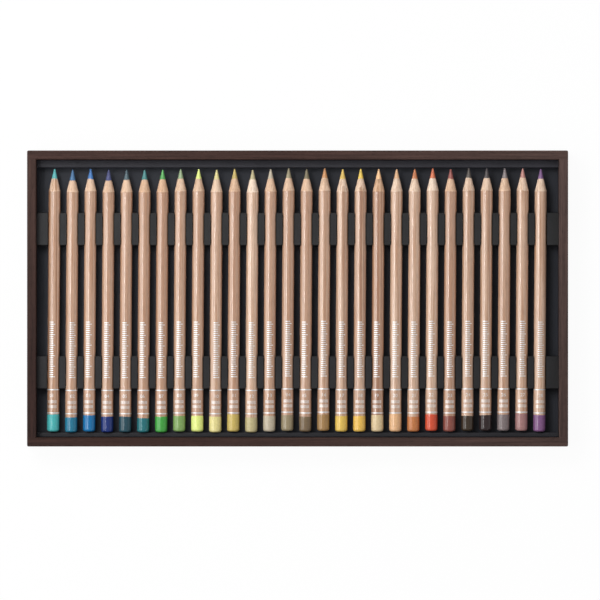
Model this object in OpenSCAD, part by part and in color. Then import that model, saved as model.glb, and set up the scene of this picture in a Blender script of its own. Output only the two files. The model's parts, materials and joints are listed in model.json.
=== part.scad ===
// Shallow wooden tray of a pencil drawer box: a finger-jointed frame round a black
// insert, whose two notched rests hold one row of round colour pencils.
// X runs along the row, Y from the dipped ends to the tips, Z up from the surface
// that the tray stands on. The origin is under the middle of the tray.

/* [Pencil] */
// Length of a pencil, from its dipped end to its point
pencil_len = 175; // [165:0.5:190]
// Diameter of the lacquered barrel
pencil_d = 8; // [7:0.1:8.3]
// Angle between the sharpened cone and the pencil's middle line
sharp_angle = 13.5; // [11:0.5:20]
// Radius of the blunted point
point_r = 0.5; // [0.3:0.05:0.9]
// Diameter of the coloured core
core_d = 3.7; // [2.5:0.1:4.5]
// Gap between the core and the wood round it
core_gap = 0.02; // [0.02:0.01:0.05]
// Length of the dipped end
dip_len = 11; // [6:0.5:15]
// Thickness of the coat of colour on the dipped end
dip_coat = 0.1; // [0.1:0.05:0.3]
// Gap between the coat of colour and the wood under it
dip_gap = 0.02; // [0.02:0.01:0.04]
// Rounding of the dipped end
dip_round = 1.6; // [1:0.1:2.5]

/* [Row] */
// Number of pencils in the row
pencil_count = 28; // [20:1:28]
// Distance from one pencil to the next
pitch = 12; // [11.8:0.05:14]
// From the end pencils' middle lines to the side walls
end_margin = 12; // [9.5:0.05:20]
// How far the row sits off the tray's middle
row_shift = -0.4; // [-1:0.1:1]
// Angle by which the pencils lean out of square, clockwise seen from above
row_lean = 0.35; // [0:0.05:0.5]
// Room between the points and the head ledge
tip_room = 1; // [0.6:0.1:5]
// Room between the dipped ends and the foot ledge
butt_room = 0.6; // [0.6:0.1:5]

/* [Rests] */
// Length of a rest along the pencils
rest_len = 22; // [14:0.1:30]
// From the points to the middle of the tip rest
tip_rest_at = 40; // [32:0.5:60]
// From the dipped ends to the middle of the butt rest
butt_rest_at = 39.5; // [32:0.5:60]
// Height of the pencils above the floor lining
pencil_lift = 1.5; // [1.2:0.1:4]
// Running gap between a pencil and its notch
notch_gap = 0.25; // [0.15:0.05:0.3]
// How far each lip of a notch reaches over the pencil
lip_reach = 0.35; // [0.1:0.05:0.5]
// Height of the lips above the pencils' middle lines
lip_rise = 2.7; // [2.6:0.1:3.4]
// Widening of a notch at both ends of a rest
flare = 0.9; // [0.3:0.1:1.2]
// Length over which a notch widens
flare_len = 1.8; // [0.8:0.1:3]
// From the end pencils' middle lines to the end blocks
end_block_at = 4.3; // [4.3:0.1:5]
// Rounding of a rest's long upper edges
rest_round = 0.6; // [0.3:0.1:1]

/* [Insert] */
// Thickness of the floor lining
lining_t = 1; // [0.5:0.1:2]
// Height of the ledges above the lining
ledge_h = 6.5; // [4:0.5:9]
// Width of the head ledge, from the back wall
head_w = 5.2; // [3:0.1:12]
// Width of the foot ledge, from the front wall
foot_w = 3.2; // [2:0.1:12]
// Rounding of the ledges' upper edges
ledge_round = 0.5; // [0.2:0.1:0.6]
// Clearance between the insert's pieces and round them
insert_gap = 0.15; // [0.1:0.05:0.3]

/* [Tray] */
// Height of the walls
wall_h = 20; // [18:0.5:40]
// Thickness of the walls
wall_t = 6; // [5:0.25:12]
// Number of fingers at each corner, counted over both walls
finger_count = 5; // [3:2:9]
// Thickness of the base panel
base_t = 3; // [2:0.25:5]
// Height of the base panel's underside above the walls' lower edges
base_up = 2; // [1.5:0.25:4]
// How far the base panel reaches into the walls
groove_deep = 3; // [1.5:0.25:3.5]
// Clearance of the base panel in its groove
groove_gap = 0.1; // [0.05:0.05:0.3]
// Rounding of the walls' long edges
wall_round = 0.5; // [0.2:0.1:1]
// Rounding of the tray's upright corners
corner_round = 1; // [0.5:0.1:2.5]

/* [Hidden] */
// Steps in the rounding of an edge, and fineness of the round pieces
edge_steps = 3;
$fn = 64;
// Past a face that a cut goes through
past = 1;

// Shades of the pencils' cores and dipped ends, from left to right
shades = [
  "lightseagreen", "teal", "dodgerblue", "midnightblue", "darkslategray", "seagreen", "limegreen",
  "olivedrab", "greenyellow", "khaki", "goldenrod", "darkkhaki", "tan", "olive",
  "darkolivegreen", "peru", "gold", "yellow", "moccasin", "sandybrown", "chocolate",
  "orangered", "brown", "#3d2b26", "#33211d", "rosybrown", "indianred", "purple"
];
wenge = "#4b3a34";
insert_black = "#26262a";
rest_black = "#3a3c3e";
cedar = "#d8ab8a";

// The tray's inner and outer sizes follow from the row of pencils
row_len = (pencil_count - 1) * pitch;
inner_w = row_len + 2 * end_margin;
inner_d = foot_w + butt_room + pencil_len + tip_room + head_w;
tray_w = inner_w + 2 * wall_t;
tray_d = inner_d + 2 * wall_t;

// Heights, from the surface up
base_top = base_up + base_t;
lining_top = base_top + lining_t;
axis_z = lining_top + pencil_lift + pencil_d / 2;

// Places along Y
foot_y = -inner_d / 2 + foot_w;
head_y = inner_d / 2 - head_w;
butt_y = foot_y + butt_room;
tip_rest_y = butt_y + pencil_len - tip_rest_at;
butt_rest_y = butt_y + butt_rest_at;

// The notches: seat radius, half the mouth between the lips, and height of the lips' narrowest line
pencil_r = pencil_d / 2;
seat_r = pencil_r + notch_gap;
mouth = pencil_r - lip_reach;
neck = sqrt(seat_r * seat_r - mouth * mouth);
rest_h = axis_z + lip_rise - lining_top;
// Outward lean of the mouth above its neck
mouth_lean = 0.6;

// The sharpened cone and the core
bore_r = core_d / 2 + core_gap;
cone_len = point_r + (pencil_r * cos(sharp_angle) - point_r) / sin(sharp_angle);

// How far each pencil lies towards the foot ledge of its place, by hand as in use
lay = [
  0, 0.5, 0, 0.5, 0.5, 0.5, 0.5, 0, 0, 0.5, 0, 0.5, 0, -0.5,
  0, -0.5, 0, 0, 0, 0, 0, -0.5, 0, -0.5, -0.5, -0.5, -0.5, 0
];

function pencil_name(i) = str("pencil_", i < 9 ? "0" : "", i + 1);
// Where pencil i's middle line crosses y
function pencil_x(i, y = 0) = row_shift - row_len / 2 + i * pitch + y * tan(row_lean);

TRAY_NODES = [
  "back_wall", "front_wall", "left_wall", "right_wall", "base_panel", "floor_lining",
  "head_ledge", "foot_ledge", "tip_rest", "butt_rest"
];

// ---------- Profiles ----------

// Points of an arc round c, from angle a to angle b
function arc(c, r, a, b, steps = edge_steps) =
  [for (k = [0 : steps]) c + r * [cos(a + (b - a) * k / steps), sin(a + (b - a) * k / steps)]];

// A rectangle from lo to hi whose two upper corners are rounded
function loaf(lo, hi, r) = concat(
  [lo, [hi.x, lo.y]],
  arc([hi.x - r, hi.y - r], r, 0, 90),
  arc([lo.x + r, hi.y - r], r, 90, 180)
);

// A rectangle about the origin with all four corners rounded
function pill(size, r) = concat(
  arc([size.x / 2 - r, size.y / 2 - r], r, 0, 90),
  arc([r - size.x / 2, size.y / 2 - r], r, 90, 180),
  arc([r - size.x / 2, r - size.y / 2], r, 180, 270),
  arc([size.x / 2 - r, r - size.y / 2], r, 270, 360)
);

// A profile drawn across Y and Z, drawn out along X from x0 to x1
module along_x(x0, x1) {
  translate([x0, 0, 0]) rotate([90, 0, 90]) linear_extrude(x1 - x0) children();
}

// A profile drawn across X and Z, drawn out along Y from y0 to y1
module along_y(y0, y1) {
  translate([0, y1, 0]) rotate([90, 0, 0]) linear_extrude(y1 - y0) children();
}

// ---------- Tray ----------

// The whole frame before it is parted into walls: eased outer edges, open inside, grooved
module frame() {
  difference() {
    intersection() {
      along_x(-tray_w / 2, tray_w / 2)
        translate([0, wall_h / 2]) polygon(pill([tray_d, wall_h], wall_round));
      along_y(-tray_d / 2, tray_d / 2)
        translate([0, wall_h / 2]) polygon(pill([tray_w, wall_h], wall_round));
      linear_extrude(wall_h) polygon(pill([tray_w, tray_d], corner_round));
    }
    translate([0, 0, wall_h / 2])
      cube([inner_w, inner_d, wall_h + 2 * past], center = true);
    rim_easing();
    translate([0, 0, base_up + base_t / 2])
      cube([inner_w, inner_d, base_t] + 2 * [groove_deep, groove_deep, groove_gap], center = true);
  }
}

// Sloping cut that eases the inner edges of the rim, mitred at the corners
module rim_easing() {
  low = wall_h - wall_round - past;
  high = wall_h + past;
  intersection() {
    along_x(-tray_w / 2, tray_w / 2) polygon(funnel(inner_d / 2, low, high));
    along_y(-tray_d / 2, tray_d / 2) polygon(funnel(inner_w / 2, low, high));
  }
}

// A funnel at 45 degrees that is half wide at the rounding's lower end
function funnel(half, low, high) = [
  [past - half, low],
  [half - past, low],
  [half + past + wall_round, high],
  [-half - past - wall_round, high]
];

// The levels of one corner that belong to the side walls (odd) or to the long walls (even)
module corner_fingers(level_from) {
  finger_h = wall_h / finger_count;
  for (side_x = [-1, 1], side_y = [-1, 1], level = [level_from : 2 : finger_count - 1])
    translate([side_x * (inner_w + wall_t) / 2, side_y * (inner_d + wall_t) / 2, (level + 0.5) * finger_h])
      cube([wall_t, wall_t, finger_h], center = true);
}

// A long wall: side is 1 at the back and -1 at the front
module long_wall(side) {
  color(wenge) intersection() {
    frame();
    union() {
      translate([0, side * (inner_d + wall_t) / 2, wall_h / 2])
        cube([inner_w, wall_t, wall_h], center = true);
      corner_fingers(0);
    }
    translate([0, side * tray_d / 2, wall_h / 2])
      cube([tray_w, tray_d, wall_h] + 2 * past * [1, 0, 1], center = true);
  }
}

// A side wall: side is 1 on the right and -1 on the left
module side_wall(side) {
  color(wenge) intersection() {
    frame();
    union() {
      translate([side * (inner_w + wall_t) / 2, 0, wall_h / 2])
        cube([wall_t, inner_d, wall_h], center = true);
      corner_fingers(1);
    }
    translate([side * tray_w / 2, 0, wall_h / 2])
      cube([tray_w, tray_d, wall_h] + 2 * past * [0, 1, 1], center = true);
  }
}

// Plywood panel that lies in the walls' groove
module base_panel() {
  panel = [inner_w, inner_d] + 2 * (groove_deep - groove_gap) * [1, 1];
  color("saddlebrown") translate([0, 0, base_up]) linear_extrude(base_t) square(panel, center = true);
}

// ---------- Insert ----------

// Black lining that covers the base panel
module floor_lining() {
  color(insert_black) translate([0, 0, base_top]) linear_extrude(lining_t)
    square([inner_w, inner_d] - 2 * insert_gap * [1, 1], center = true);
}

// A ledge from y0 to y1, between the side walls
module ledge(y0, y1) {
  half = inner_w / 2 - insert_gap;
  color(insert_black) along_x(-half, half)
    polygon(loaf([y0, lining_top], [y1, lining_top + ledge_h], ledge_round));
}

// ---------- Rests ----------

// What one notch takes out of a rest, about its pencil's middle line
module notch() {
  half = rest_len / 2;
  spread = flare / flare_len;
  rotate([90, 0, 0]) cylinder(h = rest_len + 2 * past, r = seat_r, center = true);
  // the mouth, narrowest at the lips and leaning outwards above them
  along_y(-half - past, half + past) polygon([
    [mouth_lean - mouth, neck - 1],
    [mouth - mouth_lean, neck - 1],
    [mouth + mouth_lean * (lip_rise + past - neck), lip_rise + past],
    [-mouth - mouth_lean * (lip_rise + past - neck), lip_rise + past]
  ]);
  // the flared ends
  for (end = [-1, 1])
    translate([0, end * (half - flare_len - past), 0]) rotate([-90 * end, 0, 0])
      cylinder(h = flare_len + 2 * past, r1 = seat_r - spread * past, r2 = seat_r + flare + spread * past);
}

// A notched bar across the row, with an end block at each side
module rest(mid_y) {
  half = inner_w / 2 - insert_gap;
  color(rest_black) difference() {
    along_x(-half, half) polygon(loaf(
      [mid_y - rest_len / 2, lining_top],
      [mid_y + rest_len / 2, lining_top + rest_h],
      rest_round
    ));
    for (i = [0 : pencil_count - 1])
      translate([pencil_x(i, mid_y), mid_y, axis_z]) notch();
    // beside the end pencils the blocks stand back and have no lip
    for (end = [0, 1])
      translate([
        pencil_x(end * (pencil_count - 1), mid_y) + (end - 1) * end_block_at,
        mid_y - rest_len / 2 - past,
        axis_z
      ])
        cube([end_block_at, rest_len + 2 * past, lip_rise + past]);
  }
}

// ---------- Pencils ----------

// A round rod from y0 to y1 with a rounded lower end, as a half profile
function rod(r, y0, y1, round_r) = concat(
  [[0, y0]],
  arc([r - round_r, y0 + round_r], round_r, -90, 0),
  [[r, y1], [0, y1]]
);

// Half profile turned about Y: across is the radius, up becomes Y
module turned() {
  rotate([-90, 0, 0]) rotate_extrude() children();
}

// Wooden casing: rounded butt, barrel and sharpened cone, bored for the core
module casing() {
  start = dip_coat + dip_gap;
  mouth_y = pencil_len - cone_len + (pencil_r - bore_r) / tan(sharp_angle);
  round_r = dip_round - start;
  turned() polygon(concat(
    [[bore_r, start]],
    arc([pencil_r - round_r, start + round_r], round_r, -90, 0),
    [[pencil_r, pencil_len - cone_len], [bore_r, mouth_y]]
  ));
}

// Coloured core with its blunted point
module core() {
  r = core_d / 2;
  shoulder = pencil_len - cone_len + (pencil_r - r) / tan(sharp_angle);
  turned() polygon(concat(
    [[0, dip_coat + 2 * dip_gap], [r, dip_coat + 2 * dip_gap], [r, shoulder]],
    arc([0, pencil_len - point_r], point_r, sharp_angle, 90)
  ));
}

// Coat of colour over the butt, a thin cup
module dip() {
  outer_r = pencil_r + dip_gap + dip_coat;
  turned() difference() {
    polygon(rod(outer_r, 0, dip_len, dip_round));
    polygon(rod(pencil_r + dip_gap, dip_coat, dip_len + past, dip_round - dip_coat));
  }
}

// One whole pencil of the row, in its notches
module pencil(i) {
  translate([pencil_x(i), 0, axis_z]) rotate([0, 0, -row_lean]) translate([0, butt_y - lay[i], 0]) {
    color(cedar) casing();
    color(shades[i]) {
      core();
      dip();
    }
  }
}

long_wall(1);  // back_wall
long_wall(-1);  // front_wall
side_wall(-1);  // left_wall
side_wall(1);  // right_wall
base_panel();
floor_lining();
ledge(head_y, inner_d / 2 - insert_gap);  // head_ledge
ledge(insert_gap - inner_d / 2, foot_y);  // foot_ledge
rest(tip_rest_y);  // tip_rest
rest(butt_rest_y);  // butt_rest
for (i = [0 : pencil_count - 1])
  pencil(i);
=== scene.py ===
# %% [markdown]
# # A tray of colour pencils
# This lesson dresses a pencil tray: a dark wooden frame with finger-jointed corners, a black
# insert with two notched rests, and twenty-eight round pencils that lie in the notches.
# The construction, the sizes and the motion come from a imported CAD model. It is loaded first,
# as a fixed frame, and nothing in it is moved. Everything here is in metres, with X along the
# row of pencils, Y from their dipped ends to their points, and Z up.

# %% Load the frame
import json
import math
import random

import bpy
from mathutils import Matrix, Vector


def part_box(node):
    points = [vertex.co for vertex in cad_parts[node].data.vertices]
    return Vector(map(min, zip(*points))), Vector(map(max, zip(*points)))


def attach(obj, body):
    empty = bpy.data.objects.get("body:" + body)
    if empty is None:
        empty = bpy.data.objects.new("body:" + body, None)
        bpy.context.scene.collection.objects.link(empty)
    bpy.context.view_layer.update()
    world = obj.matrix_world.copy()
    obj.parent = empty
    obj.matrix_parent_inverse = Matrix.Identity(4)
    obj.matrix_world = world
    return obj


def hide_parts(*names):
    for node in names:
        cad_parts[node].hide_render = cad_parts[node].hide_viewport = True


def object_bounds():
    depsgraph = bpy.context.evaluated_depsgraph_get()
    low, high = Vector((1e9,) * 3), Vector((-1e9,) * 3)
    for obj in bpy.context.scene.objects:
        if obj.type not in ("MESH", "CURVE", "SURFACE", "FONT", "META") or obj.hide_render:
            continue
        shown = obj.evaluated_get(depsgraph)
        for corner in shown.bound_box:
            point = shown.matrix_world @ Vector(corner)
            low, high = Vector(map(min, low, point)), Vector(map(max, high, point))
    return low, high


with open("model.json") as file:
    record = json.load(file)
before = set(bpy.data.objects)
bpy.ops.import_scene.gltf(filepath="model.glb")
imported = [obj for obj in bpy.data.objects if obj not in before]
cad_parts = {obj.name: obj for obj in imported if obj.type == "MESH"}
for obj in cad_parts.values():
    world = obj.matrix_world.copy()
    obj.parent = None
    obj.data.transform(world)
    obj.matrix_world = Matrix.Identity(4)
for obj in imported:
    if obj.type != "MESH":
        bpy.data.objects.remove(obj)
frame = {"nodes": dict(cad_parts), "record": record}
cad_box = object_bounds()
MM = 0.001

# %% [markdown]
# ## Camera
# The tray is seen from straight above. The camera hangs five metres up and has a very long
# lens, so its rays come down nearly parallel and no wall shows its inner or outer face. The
# lens follows from how wide a strip the square picture takes in at the height of the rim.

# %% Camera
bpy.ops.object.select_all(action="DESELECT")
view_wide = 399.2 * MM
view_height = 5.0
rim_height = cad_box[1].z
bpy.ops.object.camera_add(location=(1.6 * MM, -1.0 * MM, view_height), rotation=(0, 0, 0))
camera = bpy.context.active_object
camera.name = "camera"
camera.data.sensor_width = 36
camera.data.lens = camera.data.sensor_width * (view_height - rim_height) / view_wide
scene = bpy.context.scene
scene.camera = camera
scene.view_settings.view_transform = "Standard"
print("camera", view_height, "m up with a lens of", round(camera.data.lens), "mm")

# %% [markdown]
# ## Nodes in a few words
# Every finish below is made of shader nodes. Adding one takes a line each for the node, its
# settings and its links, so a short helper does all three: a setting that starts with a small
# letter is a property of the node, and any other is an input, given as a value or as the output
# that feeds it. The helpers after it bundle what comes back in every finish: mixing, stretching,
# noise, dimming and relief. The record's colours are written as a screen shows them, and the
# shader wants them linear.

# %% Node helpers
def add(tree, kind, **settings):
    """Adds one node to a tree, sets its properties and inputs, and returns it."""
    node = tree.nodes.new("ShaderNode" + kind)
    for key, value in settings.items():
        if key[0].islower():
            setattr(node, key, value)
        else:
            feed(tree, node.inputs[key.replace("_", " ")], value)
    return node


def feed(tree, socket, value):
    """Links an output to a socket, or sets the socket's value."""
    if isinstance(value, bpy.types.NodeSocket):
        tree.links.new(value, socket)
    else:
        socket.default_value = value


def mixed(tree, factor, first, second, mode="MIX"):
    """Mixes two colours and returns the output."""
    mix = add(tree, "Mix", data_type="RGBA", blend_type=mode)
    for socket, value in zip((mix.inputs[0], mix.inputs[6], mix.inputs[7]), (factor, first, second)):
        feed(tree, socket, value)
    return mix.outputs[2]


def ramp(tree, factor, low, high, dark=0.0, light=1.0):
    """Stretches a factor: low becomes dark and high becomes light."""
    stretch = add(tree, "MapRange", Value=factor, From_Min=low, From_Max=high, To_Min=dark, To_Max=light)
    return stretch.outputs[0]


def noise(tree, scale, detail=2.0, roughness=0.5, distortion=0.0):
    """Noise with so many cells to the millimetre along X, Y and Z."""
    place = add(tree, "TexCoord").outputs["Object"]
    stretched = add(tree, "Mapping", Vector=place, Scale=[cells / MM for cells in scale])
    texture = add(
        tree, "TexNoise", Vector=stretched.outputs[0], Scale=1.0, Detail=detail,
        Roughness=roughness, Distortion=distortion,
    )
    return texture.outputs[0]


def linear(colour):
    """A screen colour as the shader wants it, with its alpha."""
    return [c / 12.92 if c <= 0.04045 else ((c + 0.055) / 1.055) ** 2.4 for c in colour] + [1.0]


def greyed(colour, share):
    """A linear colour drawn towards the grey of its own brightness."""
    grey = sum(colour[:3]) / 3
    return [c + share * (grey - c) for c in colour[:3]] + [1.0]


def toned(colour, *factors):
    """A linear colour with each channel multiplied."""
    if len(factors) == 1:
        factors = factors * 3
    return [c * f for c, f in zip(colour, factors)] + [1.0]


def maths(tree, operation, first, second):
    """Combines two values and returns the output."""
    node = add(tree, "Math", operation=operation)
    feed(tree, node.inputs[0], first)
    feed(tree, node.inputs[1], second)
    return node.outputs[0]


def dimmed(tree, colour, level):
    """A colour multiplied by one level for all three channels."""
    grey = add(tree, "CombineColor", Red=level, Green=level, Blue=level)
    return mixed(tree, 1.0, colour, grey.outputs[0], "MULTIPLY")


def emboss(tree, shader, height, strength, depth, socket="Normal"):
    """Turns a height into relief of at most so many millimetres."""
    bump = add(tree, "Bump", Strength=strength, Distance=depth * MM, Height=height)
    feed(tree, shader.inputs[socket], bump.outputs[0])


def finish(name):
    """A new material: its node tree and its shader."""
    material = bpy.data.materials.new(name)
    material.use_nodes = True
    return material, material.node_tree, material.node_tree.nodes["Principled BSDF"]


slot_colour = {m["slot"]: linear(m["base_color"]) for m in frame["record"]["materials"]}
print("slots:", ", ".join(slot for slot in slot_colour if not slot.startswith("shade")))

# %% [markdown]
# ## Light
# Much of the light comes from a softbox high over the back left, which lets the black insert
# fall off towards the front right. The world further down gives the rest. The other lamps draw
# the reflections. A barrel only mirrors what hangs straight above it or to its side. A wide
# cloth reaches from overhead to the left horizon and lights the left half of every barrel, a
# panel before it lifts the part next to the edge, and a narrow strip draws the white line. The
# lamp further back is caught by the cones. The one in front and to the right isn't mirrored at
# all and keeps the shaded sides open. A lamp's power is worked out from how bright its cloth
# should look: 1 is as bright as white paper.

# %% Softboxes
def softbox(name, to_left, to_back, width, length, brightness, distance=2.5):
    """An area lamp in a direction given by two angles, facing the tray, its length along Y."""
    side, back = math.radians(to_left), math.radians(to_back)
    away = Vector((-math.sin(side) * math.cos(back), math.sin(back), math.cos(side) * math.cos(back)))
    bpy.ops.object.light_add(type="AREA", location=away * distance)
    lamp = bpy.context.active_object
    lamp.name = name
    lamp.rotation_euler = away.to_track_quat("Z", "X").to_euler()
    lamp.data.shape = "RECTANGLE"
    lamp.data.size = width
    lamp.data.size_y = length
    lamp.data.energy = math.pi * width * length * brightness
    return lamp


# name, degrees to the left, degrees to the back, width, length, brightness
softbox("softbox_top", 24, 28, 0.7, 0.7, 7.1, distance=1.6)
softbox("softbox_left", 56, 3, 3.4, 3.6, 0.85)
softbox("panel_left", 54, 3, 0.9, 0.7, 0.5, distance=1.2)
softbox("strip_left", 30, 3, 0.03, 0.7, 22.0, distance=1.2)
softbox("softbox_right", -50, -25, 0.8, 0.8, 3.5)
softbox("softbox_back", 38, 28, 0.5, 0.8, 4.0)

# %% [markdown]
# ## Floor and background
# The tray stands on plain white. A floor lit to pure white would need so much light that the
# pencils wash out, so the floor and the world only look white to the eye and in reflections.
# Light Path tells the shader what a ray is for, and the light that falls on the object stays
# plain. A share of the floor stays ordinary paper, which keeps the tray's soft shadow. The
# light itself comes from a bright ceiling, which reaches down between the pencils, but gloss
# mirrors white walls and a dim ceiling, so that black and lacquer stay deep from above.

# %% Floor and world
def seen(tree):
    """1 for a ray that shows the surface in the picture, in a gloss or through something clear."""
    path = add(tree, "LightPath").outputs
    direct = maths(tree, "MAXIMUM", path["Is Camera Ray"], path["Is Glossy Ray"])
    return maths(tree, "MAXIMUM", direct, path["Is Transmission Ray"])


bpy.ops.mesh.primitive_plane_add(size=8, location=(0, 0, -0.1 * MM))
floor = bpy.context.active_object
floor.name = "floor"
paper, tree, shader = finish("floor_paper")
shader.inputs["Base Color"].default_value = (0.9, 0.9, 0.9, 1)
shader.inputs["Roughness"].default_value = 1
glow = add(tree, "Emission", Strength=1.0)
glow_share = 0.95
blend = add(tree, "MixShader")
feed(tree, blend.inputs[0], maths(tree, "MULTIPLY", seen(tree), glow_share))
feed(tree, blend.inputs[1], shader.outputs[0])
feed(tree, blend.inputs[2], glow.outputs[0])
feed(tree, tree.nodes["Material Output"].inputs["Surface"], blend.outputs[0])
floor.data.materials.append(paper)

world = bpy.data.worlds.new("studio")
world.use_nodes = True
scene.world = world
tree = world.node_tree
skylight = (0.5, 0.5, 0.51, 1)
low_light = (0.2, 0.2, 0.205, 1)
ceiling = (0.25, 0.25, 0.25, 1)
direction = add(tree, "SeparateXYZ", Vector=add(tree, "TexCoord").outputs["Generated"])
ambient = mixed(tree, ramp(tree, direction.outputs["Z"], 0.5, 0.95), low_light, skylight)
room = mixed(tree, ramp(tree, direction.outputs["Z"], 0.1, 0.45), (1, 1, 1, 1), ceiling)
backdrop = tree.nodes["Background"]
feed(tree, backdrop.inputs["Color"], mixed(tree, seen(tree), ambient, room))
print("floor and world are set")

# %% [markdown]
# ## The wooden frame
# The walls are a dark, open-pored wood with a satin finish. Their shapes are right as the CAD
# made them, finger joints and all, so they only get a better material. The grain is noise that
# is drawn out along each wall: coarse streaks of lighter wood, then thin dark pores. Because
# the noise fills space, the joint's fingers show end grain of their own accord. Each wall has
# one tint up to a point along its length and fades into another: partly the board's own colour,
# and partly painted sheen and painted light, brighter and greyer towards the far end.

# %% Stained wood
def stained_wood(name, along, near, far, start=0.25):
    """Dark open-pored wood, its grain along axis 0 (X) or 1 (Y), tinted from near to far: board colour with
    painted sheen and painted light.
    """
    material, tree, shader = finish(name)
    colour = slot_colour["dark_wood"]

    def drawn_out(cells, stretch):
        return [cells / stretch if axis == along else cells for axis in range(3)]

    streaks = noise(tree, drawn_out(0.8, 40), detail=5, roughness=0.6)
    pores = noise(tree, drawn_out(3.0, 18), detail=3, roughness=0.55)
    brown = mixed(
        tree, ramp(tree, streaks, 0.3, 0.7),
        toned(colour, 0.45, 0.36, 0.36), toned(colour, 0.95, 0.76, 0.76),
    )
    spot = add(tree, "SeparateXYZ", Vector=add(tree, "TexCoord").outputs["Object"])
    low, high = cad_box[0][along], cad_box[1][along]
    # painted sheen and painted light: the board's tint fades into a brighter, greyer one along the wall
    board_and_sheen_fade = ramp(tree, spot.outputs["XY"[along]], low + start * (high - low), high)
    brown = mixed(tree, 1.0, brown, mixed(tree, board_and_sheen_fade, (*near, 1), (*far, 1)), "MULTIPLY")
    open_pores = ramp(tree, pores, 0.33, 0.43, 0.45, 1.0)
    feed(tree, shader.inputs["Base Color"], dimmed(tree, brown, open_pores))
    feed(tree, shader.inputs["Roughness"], ramp(tree, pores, 0.35, 0.6, 0.62, 0.42))
    shader.inputs["Specular IOR Level"].default_value = 0.15
    emboss(tree, shader, open_pores, 0.5, 0.06)
    return material


def dress(node, material):
    """Gives a CAD node a material in all its slots."""
    mesh = frame["nodes"][node].data
    if not mesh.materials:
        mesh.materials.append(material)
    for index in range(len(mesh.materials)):
        mesh.materials[index] = material


# piece, grain axis, tint at its near end, tint at its far end, where the fade starts; the tints hold
# painted sheen and painted light besides the board's colour
for wall, along, near, far, start in (
    ("back_wall", 0, (0.99, 1.03, 1.09), (1.5, 1.9, 2.1), 0.5),
    ("front_wall", 0, (0.78, 0.76, 0.76), (1.27, 1.6, 1.78), 0.25),
    ("left_wall", 1, (0.62, 0.59, 0.62), (1.16, 1.28, 1.32), 0.25),
    ("right_wall", 1, (1.12, 1.41, 1.54), (1.62, 2.14, 2.47), 0.0),
    ("base_panel", 0, (1.3, 1.3, 1.3), (1.3, 1.3, 1.3), 0.0),
):
    dress(wall, stained_wood("dark_wood_" + wall, along, near, far, start))
print("the frame's five pieces are dressed")

# %% [markdown]
# ## The black insert
# Lining, ledges and rests are black and matt. A flat black would look like a hole, so each gets
# a fine grain: a bump that breaks up the light, with a little cloudiness in the colour over a
# few centimetres. Each has its own tint, and the head ledge and the tip rest get lighter tints
# than the foot ledge and the butt rest, which is painted light from the back. The rests are
# moulded, and their sides carry painted shade: the normal tells the shader which way a face
# looks, and what doesn't look up is dimmed. Lining and rests are a little dimmer at their right
# ends than at their left ones, which is painted fall-off of the light from the left.

# %% Matt black
def matt_black(name, slot, tint, grain, roughness, gloss, side=1.0, right=1.0):
    """Fine-grained black: side paints shade by dimming what doesn't face up, right paints fall-off of the
    light by dimming the right end.
    """
    material, tree, shader = finish(name)
    colour = toned(slot_colour[slot], *tint)
    clouds = noise(tree, (0.05, 0.05, 0.05), detail=3)
    specks = noise(tree, (grain, grain, grain), detail=2, roughness=0.6)
    cloudy = mixed(tree, ramp(tree, clouds, 0.3, 0.7), toned(colour, 0.85), toned(colour, 1.1))
    place = add(tree, "TexCoord").outputs
    facing = add(tree, "SeparateXYZ", Vector=place["Normal"]).outputs["Z"]
    across = add(tree, "SeparateXYZ", Vector=place["Object"]).outputs["X"]
    # painted shade: with side below 1, faces that don't look up are dimmed
    level = maths(
        tree, "MULTIPLY", ramp(tree, specks, 0.3, 0.7, 0.75, 1.2),
        ramp(tree, facing, 0.8, 0.995, side, 1.0),
    )
    # painted fall-off of the light from the left: the right end is dimmer
    painted_light_fall_off = ramp(tree, across, cad_box[0].x, cad_box[1].x, 2 - right, right)
    level = maths(tree, "MULTIPLY", level, painted_light_fall_off)
    feed(tree, shader.inputs["Base Color"], dimmed(tree, cloudy, level))
    feed(tree, shader.inputs["Roughness"], ramp(tree, specks, 0.3, 0.7, roughness + 0.08, roughness - 0.08))
    shader.inputs["Specular IOR Level"].default_value = gloss
    emboss(tree, shader, specks, 0.35, 0.05)
    return material


# right=0.83 paints fall-off of the light across the lining
dress("floor_lining", matt_black("lining_black", "lining", (1.14, 1.27, 1.5), 2.0, 0.5, 0.25, right=0.83))
# painted light: the head ledge is given a lighter tint than the foot ledge, as light from the back falls on
# it
dress("head_ledge", matt_black("head_black_lit", "black_insert", (1.18, 1.15, 1.3), 2.5, 0.5, 0.25))
dress("foot_ledge", matt_black("foot_black", "black_insert", (0.82, 0.83, 0.9), 2.5, 0.5, 0.25))
# painted light: the tip rest is given a lighter tint than the butt rest, as light from the back falls on it
for rest, tint in (("tip_rest", (0.63, 0.58, 0.6)), ("butt_rest", (0.55, 0.5, 0.53))):
    # side=0.12 paints shade on the rests' sides, and right=0.8 paints fall-off of the light
    black = matt_black(rest + "_black", "black_rest", tint, 3.5, 0.55, 0.2, side=0.12, right=0.8)
    dress(rest, black)
print("the insert's five pieces are dressed")

# %% [markdown]
# ## A pencil's sizes
# The CAD pencil gives the outer sizes: its box is as high as the coat of colour on its end and
# as long as the pencil, but for a trifle, because the pencils lean a third of a degree out of
# square. From these follow the barrel, the cone that the sharpener leaves and the place where
# the core comes out of the wood.

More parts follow.
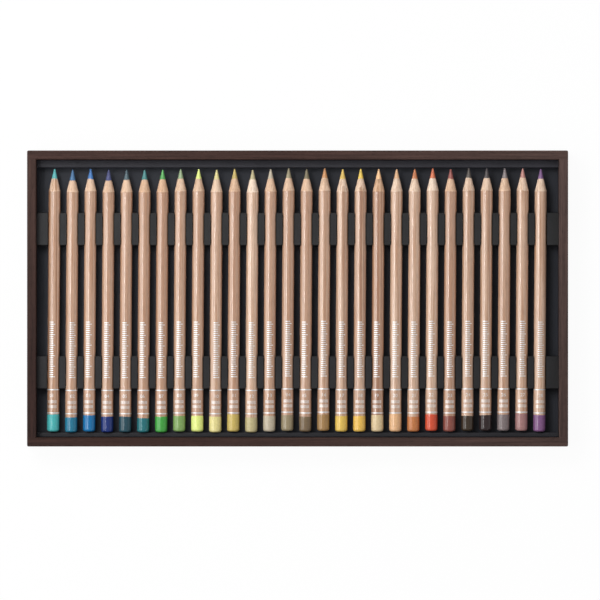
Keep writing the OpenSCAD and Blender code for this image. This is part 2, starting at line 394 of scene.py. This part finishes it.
# %% Sizes from the frame
lean = math.radians(0.35)
coat_corner = 1.6 * MM
first_low, first_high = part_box("pencil_01")
coat_r = (first_high.z - first_low.z) / 2
butt_dip = (coat_r - coat_corner) * math.sin(lean)
length = (first_high.y - first_low.y - butt_dip) / math.cos(lean)
coat_t = 0.1 * MM
seat_gap = 0.02 * MM
barrel_r = coat_r - coat_t - seat_gap
core_r = 1.85 * MM
point_r = 0.5 * MM
cone_angle = math.radians(13.5)
cone_slope = math.tan(cone_angle)
cone_len = point_r + (barrel_r * math.cos(cone_angle) - point_r) / math.sin(cone_angle)
shoulder = length - cone_len
core_out = shoulder + (barrel_r - core_r) / cone_slope
SIDES = 64
pencils = sorted(node for node in frame["nodes"] if node.startswith("pencil_"))
print("pencil:", [round(size / MM, 2) for size in (length, barrel_r, shoulder, core_out)])

# %% [markdown]
# ## Turned pieces
# Wood, core and coat are all round, like work on a lathe. One way is to draw half a profile and
# spin it. Here a disc is added instead, and its face is extruded and resized from station to
# station, which keeps the shell closed at every step and leaves nothing to merge. The piece
# grows along Z and is then laid down along Y, with the turn applied to the mesh.

# %% Turning helper
def turned(name, stations):
    """A closed round piece along Y through stations of height and radius."""
    bpy.ops.object.select_all(action="DESELECT")
    height, radius = stations[0]
    bpy.ops.mesh.primitive_circle_add(
        vertices=SIDES, radius=radius, fill_type="NGON", location=(0, 0, height),
    )
    piece = bpy.context.active_object
    piece.name = name
    bpy.ops.object.transform_apply(location=True, rotation=True, scale=True)
    bpy.ops.object.mode_set(mode="EDIT")
    bpy.ops.mesh.select_all(action="SELECT")
    for next_height, next_radius in stations[1:]:
        bpy.ops.mesh.extrude_region_move(TRANSFORM_OT_translate={"value": (0, 0, next_height - height)})
        grow = next_radius / radius
        bpy.ops.transform.resize(value=(grow, grow, 1), center_override=(0, 0, next_height))
        height, radius = next_height, next_radius
    bpy.ops.mesh.select_all(action="SELECT")
    bpy.ops.mesh.normals_make_consistent(inside=False)
    bpy.ops.object.mode_set(mode="OBJECT")
    piece.rotation_euler.x = -math.pi / 2
    bpy.ops.object.transform_apply(location=True, rotation=True, scale=True)
    bpy.ops.object.shade_smooth_by_angle(angle=math.radians(10))
    return piece


def rounding(low, radius, corner, steps=5):
    """Stations of a rounded lower edge, from the flat end up to the full radius."""
    turns = [math.radians(90 * step / steps) for step in range(steps + 1)]
    return [
        (low + corner * (1 - math.cos(turn)), radius - corner * (1 - math.sin(turn))) for turn in turns
    ]


# %% [markdown]
# ## Wood
# The casing is a barrel with a rounded butt, a cone where it is sharpened, and a bore for the
# core. After the cone the same face is resized to the bore and extruded back down inside, so
# the wall has a real edge where the core comes out. The ring just below that edge keeps the
# cone straight when the edge is made uneven later.

# %% Casing
collar = core_out - 2.6 * MM
bore_r = core_r + seat_gap
casing = turned("casing", [
    *rounding(coat_t + seat_gap, barrel_r, coat_corner - coat_t - seat_gap),
    (shoulder, barrel_r),
    (collar, core_r + (core_out - collar) * cone_slope),
    (core_out, bore_r + seat_gap),
    (core_out, bore_r),
    (0.6 * MM, bore_r),
])
print("casing:", len(casing.data.polygons), "faces")

# %% [markdown]
# ## Core and coat
# The core is a rod with the end of the cone on it and a blunt point. The coat on the butt is a
# thin cup, dipped and left to dry: a rounded end, a straight side, a soft rim and the inner
# wall that lies on the wood.

# %% Core and coat
point_turns = [cone_angle + math.radians(70) * step / 4 for step in range(5)]
core = turned("core", [
    (0.7 * MM, core_r),
    (core_out, core_r),
    *[(length - point_r + point_r * math.sin(turn), point_r * math.cos(turn)) for turn in point_turns],
])

coat_len = 11 * MM
coat_rings = 8
ring_step = (coat_len - coat_corner - 0.15 * MM) / coat_rings
coat = turned("coat", [
    *rounding(0, coat_r, coat_corner, 6),
    *[(coat_corner + ring_step * ring, coat_r) for ring in range(1, coat_rings + 1)],
    (coat_len - 0.04 * MM, coat_r - 0.03 * MM),
    (coat_len, coat_r - 0.07 * MM),
    (coat_len, barrel_r + seat_gap),
    (coat_corner, barrel_r + seat_gap),
    (coat_t, barrel_r - 1.3 * MM),
])
print("core:", len(core.data.polygons), "faces; coat:", len(coat.data.polygons), "faces")

# %% [markdown]
# ## Foil print
# Two thin rings of silver foil go round the barrel near the butt. Between them stands the
# pencil's number in the row, over two rows of short strokes, and further up there is a scale of
# cross strokes. All of it is hot-stamped: a film a few hundredths of a millimetre thick. The
# flat marks are laid out first, cut where the barrel's facets meet, dropped onto the barrel
# with Shrinkwrap and thickened, as a decal is put on a bottle.

# %% Foil helpers
film_t = 0.03 * MM
film_rise = 0.02 * MM
facets_under_print = 9


def join(pieces, name):
    """Joins pieces into the first of them."""
    bpy.ops.object.select_all(action="DESELECT")
    for piece in pieces:
        piece.select_set(True)
    bpy.context.view_layer.objects.active = pieces[0]
    if len(pieces) > 1:
        bpy.ops.object.join()
    joined = bpy.context.active_object
    joined.name = name
    return joined


def stroke(across, along, width, height):
    """A flat mark above the barrel, by its middle and its size."""
    bpy.ops.object.select_all(action="DESELECT")
    bpy.ops.mesh.primitive_plane_add(size=1, location=(across, along, 2 * barrel_r))
    mark = bpy.context.active_object
    mark.scale = (width, height, 1)
    bpy.ops.object.transform_apply(location=True, rotation=True, scale=True)
    return mark


def press_on(marks):
    """Cuts flat marks along the barrel's facets, drops them onto it and gives them a thickness."""
    bpy.ops.object.select_all(action="DESELECT")
    marks.select_set(True)
    bpy.context.view_layer.objects.active = marks
    bpy.ops.object.mode_set(mode="EDIT")
    for edge in range(-facets_under_print, facets_under_print + 1):
        bpy.ops.mesh.select_all(action="SELECT")
        cut = barrel_r * math.sin(2 * math.pi * edge / SIDES)
        bpy.ops.mesh.bisect(plane_co=(cut, 0, 0), plane_no=(1, 0, 0))
    bpy.ops.object.mode_set(mode="OBJECT")
    wrap = marks.modifiers.new("wrap", "SHRINKWRAP")
    wrap.target = casing
    wrap.wrap_method = "PROJECT"
    wrap.use_project_z = True
    wrap.use_negative_direction = True
    wrap.use_positive_direction = False
    wrap.offset = film_rise
    film = marks.modifiers.new("film", "SOLIDIFY")
    film.thickness = film_t
    film.offset = -1
    for modifier in ("wrap", "film"):
        bpy.ops.object.modifier_apply(modifier=modifier)
    return marks


# %% Rings and strokes
def foil_ring(along, height):
    """A band of foil all the way round the barrel."""
    bpy.ops.object.select_all(action="DESELECT")
    bpy.ops.mesh.primitive_circle_add(
        vertices=SIDES, radius=barrel_r + film_rise, fill_type="NOTHING",
        location=(0, along - height / 2, 0), rotation=(-math.pi / 2, 0, 0),
    )
    band = bpy.context.active_object
    bpy.ops.object.transform_apply(location=True, rotation=True, scale=True)
    bpy.ops.object.mode_set(mode="EDIT")
    bpy.ops.mesh.select_all(action="SELECT")
    bpy.ops.mesh.extrude_region_move(TRANSFORM_OT_translate={"value": (0, height, 0)})
    bpy.ops.mesh.select_all(action="SELECT")
    bpy.ops.mesh.normals_make_consistent(inside=False)
    bpy.ops.object.mode_set(mode="OBJECT")
    film = band.modifiers.new("film", "SOLIDIFY")
    film.thickness = film_t
    film.offset = -1
    bpy.ops.object.modifier_apply(modifier="film")
    return band


strokes = []
for along in (16.7 * MM, 20 * MM):
    for place in range(-5, 6):
        strokes.append(stroke(place * 0.55 * MM, along, 0.26 * MM, 2.0 * MM))
scale_start = 36.6 * MM
scale_step = 1.4 * MM
widest = 4.0 * MM
for mark in range(27):
    wide = widest if mark % 5 == 0 else 3.0 * MM
    strokes.append(stroke((wide - widest) / 2, scale_start + mark * scale_step, wide, 0.6 * MM))
print_marks = press_on(join(strokes, "marks"))
foil_print = join([print_marks, foil_ring(12.5 * MM, 0.8 * MM), foil_ring(28 * MM, 0.8 * MM)], "foil")
print("foil:", len(foil_print.data.polygons), "faces")

# %% [markdown]
# ## Cedar
# The barrels are light cedar under clear lacquer. The wood is pale with long reddish streaks and
# short dark flecks. No two pencils come from the same board, so each mesh carries two numbers:
# tone shifts its colour, and lines says how boldly its year rings are drawn. The lacquer is a
# coat over the wood's own softer gloss, and it isn't quite even. The silky fibres under it send
# back more light than clear lacquer alone, so the coat has an index of 2, which is higher than
# lacquer really has. The freshly cut cone is the same wood with no lacquer: rougher, paler and
# with its fibres torn up a little.

# %% Cedar materials
def cedar(name, slot, fibres, coat):
    """Light cedar: fibres is the strength of its streaks, coat the weight of its lacquer."""
    material, tree, shader = finish(name)
    colour = slot_colour[slot]
    tone = add(tree, "Attribute", attribute_name="tone").outputs["Fac"]
    board = noise(tree, (0.25, 0.006, 0.25), detail=2)
    streaks = noise(tree, (1.5, 0.018, 1.5), detail=4, roughness=0.65, distortion=0.3)
    flecks = noise(tree, (1.7, 0.16, 1.7), detail=3, roughness=0.6)
    rings = noise(tree, (0.55, 0.003, 0.55), detail=1)
    dim, pale = (0.8, 0.68, 0.6), (1.02, 1.1, 1.2)
    if coat:
        dim, pale = (0.66, 0.545, 0.485), (1.04, 1.07, 1.08)
    own = mixed(tree, tone, toned(colour, *dim), toned(colour, *pale))
    boards = mixed(tree, ramp(tree, board, 0.35, 0.65, 0.0, 0.35), own, toned(colour, 0.74, 0.62, 0.52))
    streaked = mixed(
        tree, ramp(tree, streaks, 0.46, 0.64, 0.0, fibres), boards, toned(colour, 0.62, 0.44, 0.32),
    )
    boldness = add(tree, "Attribute", attribute_name="lines").outputs["Fac"]
    lines = maths(tree, "MULTIPLY", ramp(tree, rings, 0.54, 0.58), boldness)
    streaked = mixed(tree, lines, streaked, toned(colour, 0.4, 0.24, 0.15))
    fleck = ramp(tree, flecks, 0.36, 0.5, 0.846, 1.0)
    feed(tree, shader.inputs["Base Color"], dimmed(tree, streaked, fleck))
    rough = 0.45 if coat else 0.7
    feed(tree, shader.inputs["Roughness"], ramp(tree, streaks, 0.3, 0.7, rough - 0.05, rough + 0.1))
    shader.inputs["Specular IOR Level"].default_value = 0.3
    emboss(tree, shader, flecks, 0.3 if coat else 0.8, 0.04)
    if coat:
        waves = noise(tree, (0.4, 0.05, 0.4), detail=2)
        shader.inputs["Coat Weight"].default_value = coat
        shader.inputs["Coat Roughness"].default_value = 0.13
        shader.inputs["Coat IOR"].default_value = 2.0
        emboss(tree, shader, waves, 0.3, 0.06, "Coat Normal")
    return material


lacquered_cedar = cedar("lacquered_cedar", "clear_wood", 0.9, 1.0)
cut_cedar = cedar("cut_cedar", "cut_wood", 0.4, 0)

# %% [markdown]
# ## Foil
# Silver foil is a metal with a soft shine. It mirrors the white studio, with a little crackle
# in it where the stamp has pressed it into the grain.

# %% Foil material
silver_foil, tree, shader = finish("silver_foil")
crackle = noise(tree, (2.5, 1.2, 2.5), detail=3)
feed(tree, shader.inputs["Base Color"], mixed(
    tree, ramp(tree, crackle, 0.3, 0.6), toned(slot_colour["foil"], 0.8), toned(slot_colour["foil"], 1.1),
))
shader.inputs["Metallic"].default_value = 0.75
feed(tree, shader.inputs["Roughness"], ramp(tree, crackle, 0.3, 0.7, 0.55, 0.4))
emboss(tree, shader, crackle, 0.3, 0.03)
print("foil finish:", silver_foil.name)

# %% [markdown]
# ## Shades
# Each pencil's shade shows twice, and it isn't the same finish. The coat on the butt is thick
# glossy lacquer with small bumps that break up its reflections. The core is wax and pigment: a
# duller and paler version of the shade, with fine scratches round it from the sharpener. Its
# paleness is partly chalk and partly painted sheen, a grey mixed into the shade. The shades come
# from the record. Under this light a few look a little off, and these are toned by a factor each
# for red, green and blue.

# %% Shade materials
coat_tint = {
    "shade_02": (0.6, 0.85, 0.95),
    "shade_03": (0.4, 0.95, 0.8),
    "shade_04": (0.6, 0.9, 0.85),
    "shade_06": (1.1, 0.8, 0.9),
    "shade_14": (1.0, 0.8, 1.05),
    "shade_15": (1.2, 1.05, 1.4),
    "shade_18": (0.95, 0.85, 1.1),
    "shade_19": (0.9, 0.9, 1.3),
    "shade_21": (0.95, 1.1, 1.3),
    "shade_23": (0.85, 1.4, 1.5),
    "shade_27": (0.72, 0.85, 1.0),
    "shade_28": (1.3, 1.7, 1.1),
}
core_tint = {
    "shade_02": (0.4, 0.6, 1.0),
    "shade_04": (0.75, 0.8, 0.8),
    "shade_08": (1.3, 1.05, 1.9),
    "shade_14": (0.95, 0.8, 1.0),
    "shade_16": (1.6, 1.2, 0.95),
    "shade_19": (1.25, 0.95, 1.25),
    "shade_22": (1.0, 1.9, 1.6),
}


def coat_finish(slot):
    """Glossy dipped lacquer in one shade."""
    material, tree, shader = finish("coat_" + slot)
    colour = toned(greyed(slot_colour[slot], 0.08), *coat_tint.get(slot, (1.0,)))
    bumps = noise(tree, (0.9, 0.7, 0.9), detail=2, roughness=0.55, distortion=0.4)
    pooled = mixed(tree, ramp(tree, bumps, 0.3, 0.7), toned(colour, 0.86), toned(colour, 1.04))
    feed(tree, shader.inputs["Base Color"], pooled)
    shader.inputs["Roughness"].default_value = 0.1
    shader.inputs["Specular IOR Level"].default_value = 0.65
    emboss(tree, shader, bumps, 0.9, 0.08)
    return material


def core_finish(slot):
    """Waxy pigment in one shade, duller than the lacquer."""
    material, tree, shader = finish("core_" + slot)
    colour = toned(slot_colour[slot], *core_tint.get(slot, (1.0,)))
    scratches = noise(tree, (0.5, 4.0, 0.5), detail=3, roughness=0.6)
    # partly chalk, partly painted sheen: the shade is mixed with a pale grey
    chalk_and_painted_sheen = mixed(tree, 0.12, colour, (0.6, 0.6, 0.6, 1))
    feed(tree, shader.inputs["Base Color"], mixed(
        tree, ramp(tree, scratches, 0.3, 0.7, 0, 0.35), chalk_and_painted_sheen, toned(colour, 0.7),
    ))
    feed(tree, shader.inputs["Roughness"], ramp(tree, scratches, 0.3, 0.7, 0.38, 0.55))
    emboss(tree, shader, scratches, 0.5, 0.03)
    return material


print("finishes: cedar with and without lacquer, foil, coat and core")

# %% [markdown]
# ## No two pencils alike
# A row of identical copies would give the picture away. Five things differ from pencil to
# pencil, listed from left to right: how pale its wood is, how boldly its year rings show
# as brown lines, how far the print is turned to one side, how far the sharpener has cut the wood
# back from the core, and how deep the end was dipped. The edges of wood and coat also wander, by
# a sum of a few waves round the barrel.

# %% Differences one by one
# from 0 for the dimmest board to 1 for the palest
wood_tone = [
    0.35, 0.3, 0.3, 0.25, 0.25, 0.05, 0.0, 0.35, 0.25, 0.5, 0.15, 1.0, 0.2, 0.25,
    0.2, 0.45, 0.8, 0.5, 0.0, 0.75, 0.7, 0.95, 0.1, 0.65, 0.6, 0.25, 0.6, 0.75,
]
bold_lines = [
    0.7, 0.1, 0.1, 0.15, 0.15, 0.1, 0.1, 0.15, 0.2, 0.1, 0.2, 0.0, 0.1, 0.15,
    0.1, 0.3, 0.5, 0.7, 0.6, 0.2, 0.15, 0.1, 0.2, 0.25, 0.4, 0.25, 0.2, 0.2,
]
# degrees to the right
print_turn = [
    -14, 12, -8, -3, -3, -8, 0, 0, -12, 10, 8, 2, 3, 8,
    -12, 5, 3, 8, -10, -3, 4, -2, 4, 6, 0, 0, 10, 10,
]
# millimetres
cut_back = [
    0.3, 1.6, 0.7, 1.6, 0.6, 0.7, 0.4, 0.2, 0.1, 0.2, 0.3, 0.2, 0.1, 0.3,
    0.4, 0.3, 0.5, 0.3, 0.4, 0.3, 0.4, 0.5, 0.6, 0.3, 0.5, 0.5, 0.1, 0.6,
]
dip_depth = [
    11.5, 10, 11, 10.5, 10.5, 9.5, 10.5, 10.5, 10.5, 10.5, 11.5, 10, 10.5, 10.5,
    10, 11, 10.5, 10.5, 11, 12, 10, 11, 10.5, 10, 10.5, 11, 11.5, 11,
]


def wander(seed, size, lobes=(1, 2, 3, 5, 8)):
    """A closed wavy line round the barrel: a function of the angle, from 0 to size."""
    draw = random.Random(seed)
    waves = [(lobe, draw.uniform(0, 2 * math.pi), draw.uniform(0.4, 1) / lobe) for lobe in lobes]
    most = sum(height for _, _, height in waves)
    return lambda angle: size * (
        0.5 + 0.5 * sum(h * math.sin(lobe * angle + start) for lobe, start, h in waves) / most
    )


def at(value, target):
    """Whether two lengths are the same, to a thousandth of a millimetre."""
    return abs(value - target) < 0.001 * MM


# %% Uneven edges
def fray_wood(mesh, seed, cut):
    """Cuts the wood back from the core, unevenly, and lets the lacquer's edge wander."""
    edge = wander(seed, 1.0 * MM)
    lacquer = wander(seed + 100, 0.5 * MM)
    for vertex in mesh.vertices:
        spot = vertex.co
        angle, radius = math.atan2(spot.x, spot.z), math.hypot(spot.x, spot.z)
        if at(spot.y, core_out):
            back = cut + edge(angle)
            if radius > bore_r + seat_gap / 2:
                spot.y -= back
                grow = (core_r + 2 * seat_gap + back * cone_slope) / radius
                spot.x, spot.z = spot.x * grow, spot.z * grow
            else:
                spot.y -= back / 2
        elif at(spot.y, shoulder):
            spot.y += lacquer(angle) - 0.25 * MM


def dip_coat(mesh, seed, depth):
    """Draws the coat out to its depth, with a rim that isn't quite level."""
    rim = wander(seed + 200, 0.35 * MM)
    foot = 1.7 * MM
    for vertex in mesh.vertices:
        spot = vertex.co
        if spot.y > foot:
            share = (spot.y - foot) / (coat_len - foot)
            spot.y += share * (depth - coat_len + rim(math.atan2(spot.x, spot.z)) - 0.17 * MM)


# %% [markdown]
# ## Laying out the row
# Each pencil is four pieces that ride on its own body, because they lift out together: wood,
# core, coat and foil. Every piece is a copy of its model with a mesh of its own. The mesh is
# turned and moved to where the CAD pencil lies, and the object itself stays at the origin.
# The left side of a leaning pencil's box touches the coat just above its rounded end, and the
# near side touches the edge of its flat end, which gives the middle of the butt.

# %% Numbers
def number_foil(number):
    """The pencil's number in foil, upright between the rings when the point is up."""
    bpy.ops.object.select_all(action="DESELECT")
    bpy.ops.object.text_add(location=(0, 0, 0))
    text = bpy.context.active_object
    text.data.body = f"{number:02d}"
    text.data.size = 3.2 * MM
    text.data.align_x = "CENTER"
    text.data.align_y = "CENTER"
    text.data.resolution_u = 3
    bpy.ops.object.convert(target="MESH")
    digits = bpy.context.active_object
    digits.location = (0, 24 * MM, 2 * barrel_r)
    bpy.ops.object.transform_apply(location=True, rotation=True, scale=True)
    return press_on(digits)


# %% The row
def copy_of(model, name):
    """A copy of a model with a mesh of its own."""
    piece = model.copy()
    piece.data = model.data.copy()
    piece.name = name
    piece.data.name = name
    scene.collection.objects.link(piece)
    return piece


def settle(piece, spot, body):
    """Moves a piece's mesh to its place and says what it rides on."""
    piece.data.transform(spot)
    piece.data.update()
    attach(piece, body)


for index, node in enumerate(pencils):
    low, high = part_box(node)
    shade = "shade_" + node[-2:]
    butt_x = low.x + coat_r * math.cos(lean) - coat_corner * math.sin(lean)
    place = Matrix.Translation((butt_x, low.y + butt_dip, (low.z + high.z) / 2))
    rolled = Matrix.Rotation(math.radians(print_turn[index]), 4, "Y")
    spot = place @ Matrix.Rotation(-lean, 4, "Z") @ rolled

    wood = copy_of(casing, node + "_wood")
    fray_wood(wood.data, index, cut_back[index] * MM)
    for name, values in (("tone", wood_tone), ("lines", bold_lines)):
        marked = wood.data.attributes.new(name, "FLOAT", "POINT")
        marked.data.foreach_set("value", [values[index]] * len(wood.data.vertices))
    wood.data.materials.append(lacquered_cedar)
    wood.data.materials.append(cut_cedar)
    for face in wood.data.polygons:
        face.material_index = int(face.center.y > shoulder + 0.3 * MM)
    settle(wood, spot, node)
    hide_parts(node)

    lead = copy_of(core, node + "_core")
    lead.data.materials.append(core_finish(shade))
    settle(lead, spot, node)

    cup = copy_of(coat, node + "_coat")
    dip_coat(cup.data, index, dip_depth[index] * MM)
    cup.data.materials.append(coat_finish(shade))
    settle(cup, spot, node)

    foil = join([copy_of(foil_print, node + "_foil"), number_foil(index + 1)], node + "_foil")
    foil.data.materials.append(silver_foil)
    settle(foil, spot, node)

for model in (casing, core, coat, foil_print):
    bpy.data.objects.remove(model)
print("row:", len(pencils), "pencils of four pieces each")
